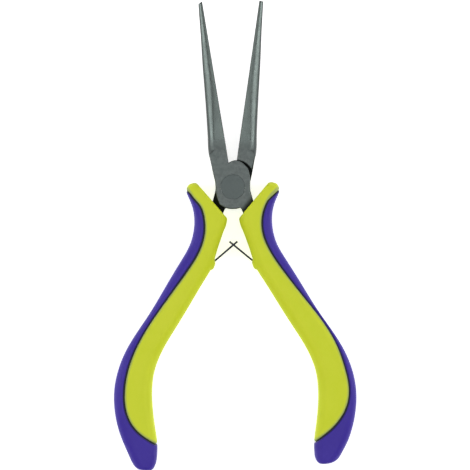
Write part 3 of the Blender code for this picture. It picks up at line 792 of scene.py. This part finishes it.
def group(name, inputs, outputs):
    """An empty node group: inputs are (name, kind, value), outputs (name, kind)."""
    tree = bpy.data.node_groups.new(name, "ShaderNodeTree")
    for label, kind, value in inputs:
        socket = tree.interface.new_socket(label, in_out="INPUT", socket_type=kind)
        if value is not None:
            socket.default_value = value
    for label, kind in outputs:
        tree.interface.new_socket(label, in_out="OUTPUT", socket_type=kind)
    return tree, tree.nodes.new("NodeGroupInput"), tree.nodes.new("NodeGroupOutput")


def used(tree, shared, inputs):
    """A shared group placed in a material with its own values."""
    return node(tree, "ShaderNodeGroup", inputs, node_tree=shared)


def math_node(tree, operation, a, b=None, c=None):
    """One sum on up to three values or sockets."""
    made = node(tree, "ShaderNodeMath", operation=operation)
    for socket, value in zip(made.inputs, (a, b, c)):
        feed(tree, socket, value)
    return made.outputs[0]


def spread(tree, value, low, high, to_low, to_high):
    """value from low..high to to_low..to_high, held at the ends and smooth between them."""
    made = node(tree, "ShaderNodeMapRange", interpolation_type="SMOOTHSTEP", clamp=True)
    for socket, number in zip(made.inputs, (value, low, high, to_low, to_high)):
        feed(tree, socket, number)
    return made.outputs[0]


def mixed(tree, factor, a, b):
    """The colour a * (1 - factor) + b * factor."""
    made = node(tree, "ShaderNodeMix", data_type="RGBA", blend_type="MIX")
    for socket, value in zip((made.inputs[0], made.inputs[6], made.inputs[7]), (factor, a, b)):
        feed(tree, socket, value)
    return made.outputs[2]


def component(tree, vector, axis):
    """One of a vector's three numbers."""
    return node(tree, "ShaderNodeSeparateXYZ", {"Vector": vector}).outputs[axis]


def grain_group():
    """Grain: a fine rough surface in two sizes, and a mask of its deepest pits."""
    tree, given, out = group(
        "surface grain",
        [("Vector", "NodeSocketVector", None), ("Scale", "NodeSocketFloat", 1500.0),
         ("Pits", "NodeSocketFloat", 0.3)],
        [("Height", "NodeSocketFloat"), ("Pit Mask", "NodeSocketFloat")])
    fine = node(tree, "ShaderNodeTexNoise", {"Vector": given.outputs["Vector"],
                                             "Scale": given.outputs["Scale"],
                                             "Detail": 3.0, "Roughness": 0.6})
    coarse_scale = math_node(tree, "MULTIPLY", given.outputs["Scale"], 0.31)
    coarse = node(tree, "ShaderNodeTexNoise", {"Vector": given.outputs["Vector"], "Scale": coarse_scale,
                                               "Detail": 2.0})
    cells = node(tree, "ShaderNodeTexVoronoi", {"Vector": given.outputs["Vector"],
                                                "Scale": given.outputs["Scale"],
                                                "Randomness": 1.0})
    pit = spread(tree, cells.outputs["Distance"], 0.1, 0.45, 1.0, 0.0)
    some = spread(tree, coarse.outputs[0], 0.5, 0.7, 0.0, 1.0)
    mask = math_node(tree, "MULTIPLY", math_node(tree, "MULTIPLY", pit, some), given.outputs["Pits"])
    rough = math_node(tree, "MULTIPLY_ADD", coarse.outputs[0], 0.6, fine.outputs[0])
    tree.links.new(math_node(tree, "SUBTRACT", rough, mask), out.inputs["Height"])
    tree.links.new(mask, out.inputs["Pit Mask"])
    return tree


def clouding_group():
    """Clouding: a slow unevenness of colour or finish, from -1 to 1."""
    tree, given, out = group(
        "slow clouding", [("Vector", "NodeSocketVector", None), ("Scale", "NodeSocketFloat", 120.0)],
        [("Value", "NodeSocketFloat")])
    noise = node(tree, "ShaderNodeTexNoise", {"Vector": given.outputs["Vector"],
                                              "Scale": given.outputs["Scale"],
                                              "Detail": 4.0, "Roughness": 0.55, "Distortion": 0.4})
    tree.links.new(spread(tree, noise.outputs[0], 0.3, 0.7, -1.0, 1.0), out.inputs["Value"])
    return tree


def lines_group():
    """Drawn lines: fine marks that run along the piece, from noise squeezed across it."""
    tree, given, out = group(
        "drawn lines", [("Vector", "NodeSocketVector", None), ("Scale", "NodeSocketFloat", 2500.0)],
        [("Height", "NodeSocketFloat")])
    squeezed = node(tree, "ShaderNodeVectorMath", {0: given.outputs["Vector"], 1: (1.0, 0.035, 1.0)},
                    operation="MULTIPLY")
    noise = node(tree, "ShaderNodeTexNoise", {"Vector": squeezed.outputs[0],
                                              "Scale": given.outputs["Scale"],
                                              "Detail": 3.0, "Roughness": 0.65})
    tree.links.new(noise.outputs[0], out.inputs["Height"])
    return tree


def edge_group():
    """Edge wear: a mask on outward edges, broken up by noise."""
    tree, given, out = group(
        "edge wear", [("Vector", "NodeSocketVector", None), ("From", "NodeSocketFloat", 0.52),
                      ("To", "NodeSocketFloat", 0.62), ("Broken", "NodeSocketFloat", 0.08)],
        [("Mask", "NodeSocketFloat")])
    noise = node(tree, "ShaderNodeTexNoise", {"Vector": given.outputs["Vector"], "Scale": 700.0,
                                              "Detail": 3.0})
    shift = math_node(tree, "MULTIPLY", math_node(tree, "SUBTRACT", noise.outputs[0], 0.5),
                      given.outputs["Broken"])
    sharp = node(tree, "ShaderNodeNewGeometry").outputs["Pointiness"]
    value = math_node(tree, "ADD", sharp, shift)
    tree.links.new(spread(tree, value, given.outputs["From"], given.outputs["To"], 0.0, 1.0),
                   out.inputs["Mask"])
    return tree


GRAIN, CLOUDING, LINES, EDGE = grain_group(), clouding_group(), lines_group(), edge_group()


def colour(r, g, b):
    """A colour given as it shows on a screen, 0 to 255, as the linear values that nodes take."""
    shown = np.array([r, g, b]) / 255
    linear = np.where(shown <= 0.04045, shown / 12.92, ((shown + 0.055) / 1.055) ** 2.4)
    return (*linear.tolist(), 1.0)


def material(name):
    """(material, its tree, its Principled shader), with nothing else in the tree."""
    made = bpy.data.materials.new(name)
    made.use_nodes = True
    made.node_tree.nodes.clear()
    tree = made.node_tree
    shader = node(tree, "ShaderNodeBsdfPrincipled")
    node(tree, "ShaderNodeOutputMaterial", {"Surface": shader.outputs[0]})
    return made, tree, shader


def link(tree, shader, **sockets):
    """Links shader inputs, named with underscores for spaces."""
    for name, value in sockets.items():
        tree.links.new(value, shader.inputs[name.replace("_", " ")])


def bumped(tree, height, strength, depth):
    """A normal tilted by the slope of the height."""
    return node(tree, "ShaderNodeBump", {"Height": height, "Strength": strength,
                                         "Distance": depth}).outputs[0]


def painted_recess_shade(tree, place_of):
    """A mask of the faces on which the halves rub, level and near the middle plane, painted dark as shade
    in the recess between the halves.
    """
    off_middle = math_node(tree, "SUBTRACT", component(tree, place_of, "Z"), float(PIVOT[2]) / 1000)
    near = spread(tree, math_node(tree, "ABSOLUTE", off_middle), 0.0002, 0.0009, 1.0, 0.0)
    facing = component(tree, node(tree, "ShaderNodeNewGeometry").outputs["True Normal"], "Z")
    flat = spread(tree, math_node(tree, "ABSOLUTE", facing), 0.8, 0.95, 0.0, 0.95)
    return math_node(tree, "MULTIPLY", near, flat)


def flank_shade(tree, place_of, rear):
    """A mask of the steel just outside the sleeve's flank, painted dark as shade where the steel meets
    the sleeve.
    """
    (ax, ay, _), (bx, by, _) = place([(*SLEEVE[0][0], 0), (*SLEEVE[0][1], 0)], rear)
    outward = Vector((by - ay, ax - bx, 0)).normalized()
    outward = outward if outward.y > 0 else -outward
    offset = node(tree, "ShaderNodeVectorMath", {0: place_of, 1: tuple(outward)},
                  operation="DOT_PRODUCT").outputs["Value"]
    away = math_node(tree, "SUBTRACT", offset, outward.x * ax + outward.y * ay)
    noise = node(tree, "ShaderNodeTexNoise", {"Vector": place_of, "Scale": 900.0,
                                              "Detail": 2.0}).outputs[0]
    away = math_node(tree, "MULTIPLY_ADD", math_node(tree, "SUBTRACT", noise, 0.5), 0.0006, away)
    return spread(tree, away, 0.0003, 0.0021, 0.9, 0.0)


def forged_steel(name, lean_deg, rear):
    """Dark phosphated steel, blasted on the joint and drawn smooth along the jaw, a little brighter at
    its edges, with painted shade on the jaw's sides, in the recess between the halves and beside the
    sleeve's flank."""
    made, tree, shader = material(name)
    place_of = node(tree, "ShaderNodeTexCoord").outputs["Object"]
    leaning = {"Vector": place_of, "Rotation": (0, 0, math.radians(lean_deg))}
    along = node(tree, "ShaderNodeMapping", leaning, vector_type="POINT")
    grain = used(tree, GRAIN, {"Vector": place_of, "Scale": 2600.0, "Pits": 0.8})
    cloud = used(tree, CLOUDING, {"Vector": place_of, "Scale": 180.0}).outputs[0]
    streak = used(tree, CLOUDING, {"Vector": along.outputs[0], "Scale": 420.0}).outputs[0]
    lines = used(tree, LINES, {"Vector": along.outputs[0], "Scale": 3200.0}).outputs[0]
    worn = used(tree, EDGE, {"Vector": place_of, "From": 0.535, "To": 0.60, "Broken": 0.05}).outputs[0]
    height_above = component(tree, place_of, "Y")
    on_jaw = spread(tree, height_above, 0.026, 0.034, 0.0, 1.0)
    on_jaw_flank = spread(tree, height_above, 0.024, 0.029, 0.0, 1.0)
    shade = math_node(tree, "MULTIPLY_ADD", cloud, 0.22,
                      math_node(tree, "MULTIPLY_ADD", streak, 0.1, 0.5))
    base = mixed(tree, shade, colour(90, 98, 96), colour(116, 122, 121))
    base = mixed(tree, math_node(tree, "MULTIPLY", on_jaw, 0.75), base, colour(77, 85, 82))
    patchy = used(tree, CLOUDING, {"Vector": place_of, "Scale": 900.0}).outputs[0]
    base = mixed(tree, spread(tree, patchy, -1.0, 1.0, 0.0, 0.35), base, colour(76, 83, 82))
    base = mixed(tree, math_node(tree, "MULTIPLY", grain.outputs["Pit Mask"], 0.6), base,
                 colour(58, 62, 61))
    facing = component(tree, node(tree, "ShaderNodeNewGeometry").outputs["Normal"], "Z")
    upward = math_node(tree, "ABSOLUTE", facing)
    rub_and_sheen = spread(tree, upward, 0.97, 0.995, 0.5, 0.0)
    rub_and_sheen = math_node(tree, "MULTIPLY", rub_and_sheen, math_node(tree, "SUBTRACT", 1.0, on_jaw_flank))
    base = mixed(tree, math_node(tree, "MULTIPLY", worn, rub_and_sheen), base, colour(168, 174, 174))
    # painted shade: on the jaw, steel whose normal turns sideways is darkened, standing in for the shade
    # on the jaw's sides
    sideways_painted_shade = spread(tree, upward, 0.45, 0.86, 0.8, 0.0)
    base = mixed(tree, math_node(tree, "MULTIPLY", sideways_painted_shade, on_jaw_flank), base, colour(48, 54, 53))
    # painted shade: the level faces near the middle plane, in the recess between the halves, are darkened
    base = mixed(tree, painted_recess_shade(tree, place_of), base, colour(16, 18, 18))
    # painted shade: the steel beside the sleeve's flank is darkened
    base = mixed(tree, flank_shade(tree, place_of, rear), base, colour(24, 27, 20))
    rough = math_node(tree, "MULTIPLY_ADD", cloud, 0.04, spread(tree, on_jaw, 0.0, 1.0, 0.48, 0.23))
    fine = math_node(tree, "MULTIPLY", grain.outputs["Height"], spread(tree, on_jaw, 0.0, 1.0, 1.0, 0.35))
    height = math_node(tree, "MULTIPLY_ADD", lines, math_node(tree, "MULTIPLY", on_jaw, 0.5), fine)
    link(tree, shader, Base_Color=base, Roughness=rough, Normal=bumped(tree, height, 0.55, 0.00004))
    shader.inputs["Metallic"].default_value = 1.0
    return made


def rivet_steel():
    """The rivet's end: the same finish as the cheek, with the faint rings of its turning."""
    made, tree, shader = material("rivet steel")
    place_of = node(tree, "ShaderNodeTexCoord").outputs["Object"]
    centred = node(tree, "ShaderNodeMapping", {"Vector": place_of, "Location": tuple(-PIVOT / 1000)},
                   vector_type="POINT")
    flat = node(tree, "ShaderNodeVectorMath", {0: centred.outputs[0], 1: (1.0, 1.0, 0.0)},
                operation="MULTIPLY")
    radius = node(tree, "ShaderNodeVectorMath", {0: flat.outputs[0]}, operation="LENGTH").outputs["Value"]
    rings = math_node(tree, "SINE", math_node(tree, "MULTIPLY", radius, 2 * math.pi / 0.00022))
    grain = used(tree, GRAIN, {"Vector": place_of, "Scale": 3000.0, "Pits": 0.5})
    cloud = used(tree, CLOUDING, {"Vector": place_of, "Scale": 260.0}).outputs[0]
    base = mixed(tree, math_node(tree, "MULTIPLY_ADD", cloud, 0.2, 0.5), colour(84, 92, 91),
                 colour(104, 112, 111))
    base = mixed(tree, grain.outputs["Pit Mask"], base, colour(56, 60, 59))
    height = math_node(tree, "MULTIPLY_ADD", rings, 0.06, grain.outputs["Height"])
    rough = math_node(tree, "MULTIPLY_ADD", cloud, 0.04, 0.5)
    link(tree, shader, Base_Color=base, Roughness=rough, Normal=bumped(tree, height, 0.55, 0.00004))
    shader.inputs["Metallic"].default_value = 1.0
    return made


def spring_steel():
    """Blued strip steel with rolling lines along it and bright sheared edges."""
    made, tree, shader = material("spring steel")
    place_of = node(tree, "ShaderNodeTexCoord").outputs["Object"]
    lines = used(tree, LINES, {"Vector": place_of, "Scale": 4200.0}).outputs[0]
    cloud = used(tree, CLOUDING, {"Vector": place_of, "Scale": 500.0}).outputs[0]
    worn = used(tree, EDGE, {"Vector": place_of, "From": 0.54, "To": 0.62, "Broken": 0.04}).outputs[0]
    base = mixed(tree, math_node(tree, "MULTIPLY_ADD", cloud, 0.3, 0.5), colour(26, 28, 31),
                 colour(42, 43, 46))
    base = mixed(tree, math_node(tree, "MULTIPLY", worn, 0.3), base, colour(70, 72, 76))
    rough = math_node(tree, "MULTIPLY_ADD", lines, 0.16, 0.28)
    link(tree, shader, Base_Color=base, Roughness=rough, Normal=bumped(tree, lines, 0.3, 0.00003))
    shader.inputs["Metallic"].default_value = 1.0
    return made


def moulded(name, main, light, rough, texture, rub_and_sheen=None):
    """Moulded plastic: a fine sparked grain and slow unevenness of colour. Where a seam colour is given,
    the lip along the seam is that colour, a painted sheen on its rounded edge."""
    made, tree, shader = material(name)
    place_of = node(tree, "ShaderNodeTexCoord").outputs["Object"]
    grain = used(tree, GRAIN, {"Vector": place_of, "Scale": texture, "Pits": 0.15})
    cloud = used(tree, CLOUDING, {"Vector": place_of, "Scale": 70.0}).outputs[0]
    fleck = used(tree, CLOUDING, {"Vector": place_of, "Scale": 900.0}).outputs[0]
    shade = math_node(tree, "MULTIPLY_ADD", cloud, 0.18,
                      math_node(tree, "MULTIPLY_ADD", fleck, 0.08, 0.4))
    base = mixed(tree, shade, main, light)
    if rub_and_sheen:
        along_seam = node(tree, "ShaderNodeAttribute", attribute_name="seam edge").outputs["Fac"]
        # painted sheen: the rounded lip along the seam is painted paler and greyer
        base = mixed(tree, math_node(tree, "MULTIPLY", along_seam, 0.9), base, rub_and_sheen)
    ruffle = math_node(tree, "MULTIPLY_ADD", fleck, 0.03,
                       math_node(tree, "MULTIPLY_ADD", cloud, 0.04, rough))
    link(tree, shader, Base_Color=base, Roughness=ruffle,
         Normal=bumped(tree, grain.outputs["Height"], 0.35, 0.00005))
    shader.inputs["IOR"].default_value = 1.46
    shader.inputs["Specular IOR Level"].default_value = 0.3
    return made


# ---- the tool


def build():
    """Both halves with their handles, the bent leaf springs between them, and the rivet."""
    lean = math.degrees(HALF_OPEN)
    steel = {False: forged_steel("forged steel, front half", -lean, False),
             True: forged_steel("forged steel, rear half", lean, True)}
    # the lime shell's seam lip takes a painted sheen colour
    lime = moulded("lime shell plastic", colour(214, 227, 35), colour(223, 232, 62), 0.52, 2200.0,
                   rub_and_sheen=colour(172, 188, 104))
    blue = moulded("blue back plastic", colour(56, 35, 155), colour(73, 57, 169), 0.5, 1800.0)
    dark = moulded("dark core plastic", colour(40, 44, 46), colour(56, 60, 62), 0.6, 1500.0)
    strip = spring_steel()
    halves = {False: ("front", "front_half", "right"), True: ("rear", "rear_half", "left")}
    for rear, (body, half_node, side) in halves.items():
        rails = sleeve_rails(0.0 if rear else RIGHT_BUTT_SHORTER)
        slant = REAR_TIP_SLANT if rear else FRONT_TIP_SLANT
        forging = [cheek(not rear), jaw_root(), tang_root(), jaw(slant), tang(rails)]
        piece(f"{body}_forging", forging, rear, half_node, body, "jaw_steel", steel[rear])
        piece(f"{side}_handle_shell", [shell(rails)], rear, f"{side}_shell", body, "shell_plastic", lime)
        piece(f"{side}_handle_back", back(rails), rear, f"{side}_back", body, "back_plastic", blue)
        piece(f"{side}_handle_core", [core(rails)], rear, f"{side}_core", body, "core_plastic", dark)
        leaf = piece(f"{side}_spring", [tongue_leaf() if rear else window_leaf()], rear,
                     f"{side}_leaf_spring", None, "spring_steel", strip)
        _, bend, blade, crossing = leaf_line()
        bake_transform(leaf)
    piece("joint_rivet", [rivet()], False, "pivot_rivet", "front", "rivet_steel", rivet_steel())


# ---- floor, light and camera


def floor():
    """A plain pale sheet that the tool lies on, lit a little from below."""
    made, tree, shader = material("pale floor")
    place_of = node(tree, "ShaderNodeTexCoord").outputs["Object"]
    cloud = used(tree, CLOUDING, {"Vector": place_of, "Scale": 6.0}).outputs[0]
    base = mixed(tree, math_node(tree, "MULTIPLY_ADD", cloud, 0.5, 0.5), (0.9, 0.9, 0.9, 1),
                 (0.92, 0.92, 0.92, 1))
    link(tree, shader, Base_Color=base)
    shader.inputs["Roughness"].default_value = 0.7
    shader.inputs["Specular IOR Level"].default_value = 0.2
    shader.inputs["Emission Color"].default_value = (1.0, 1.0, 1.0, 1.0)
    shader.inputs["Emission Strength"].default_value = 0.7
    mesh = bpy.data.meshes.new("floor")
    side, level = 4.0, -0.00003
    mesh.from_pydata([(-side, -side, level), (side, -side, level), (side, side, level),
                      (-side, side, level)], [], [(0, 1, 2, 3)])
    mesh.materials.append(made)
    obj = bpy.data.objects.new("floor", mesh)
    bpy.context.scene.collection.objects.link(obj)


def softbox(name, where, size, power):
    """A rectangular light that faces the tool."""
    lamp = bpy.data.lights.new(name, "AREA")
    lamp.shape = "RECTANGLE"
    lamp.size, lamp.size_y = size
    lamp.energy = power
    obj = bpy.data.objects.new(name, lamp)
    obj.location = where
    direction = -np.array(where, float)
    obj.rotation_euler = Vector(direction).to_track_quat("-Z", "Y").to_euler()
    obj.visible_camera = False
    bpy.context.scene.collection.objects.link(obj)


def lights():
    """A pale studio: brighter above than at the sides, with a long softbox low on either side for the
    stripes of light along the jaws."""
    world = bpy.data.worlds.new("studio")
    world.use_nodes = True
    tree = world.node_tree
    tree.nodes.clear()
    direction = node(tree, "ShaderNodeTexCoord").outputs["Generated"]
    strength = spread(tree, component(tree, direction, "Z"), 0.1, 0.7, 0.2, 0.5)
    seen = node(tree, "ShaderNodeLightPath").outputs["Is Camera Ray"]
    strength = math_node(tree, "MAXIMUM", strength, math_node(tree, "MULTIPLY", seen, 0.9))
    background = node(tree, "ShaderNodeBackground", {"Strength": strength})
    node(tree, "ShaderNodeOutputWorld", {"Surface": background.outputs[0]})
    bpy.context.scene.world = world
    softbox("overhead", (0.0, 0.0, 2.4), (1.0, 1.0), 6.7)
    softbox("left strip", (-1.0, 0.1, 0.6), (0.2, 1.8), 5.0)
    softbox("right strip", (1.0, 0.1, 0.74), (0.2, 1.8), 5.6)


def camera():
    """Straight down from far off, turned a little so the tool leans as it lies."""
    distance, width, lean_deg = 1.5, 0.1537, -0.65
    lens = bpy.data.cameras.new("camera")
    lens.type, lens.sensor_width = "PERSP", 36.0
    lens.lens = 36.0 * distance / width
    lens.clip_end = 20.0
    obj = bpy.data.objects.new("camera", lens)
    obj.location = (0.00054, 0.00004, PIVOT[2] / 1000 + distance)
    obj.rotation_euler = (0, 0, math.radians(lean_deg))
    bpy.context.scene.collection.objects.link(obj)
    bpy.context.scene.camera = obj


build()
floor()
lights()
camera()
bpy.context.scene.view_settings.view_transform = "Standard"
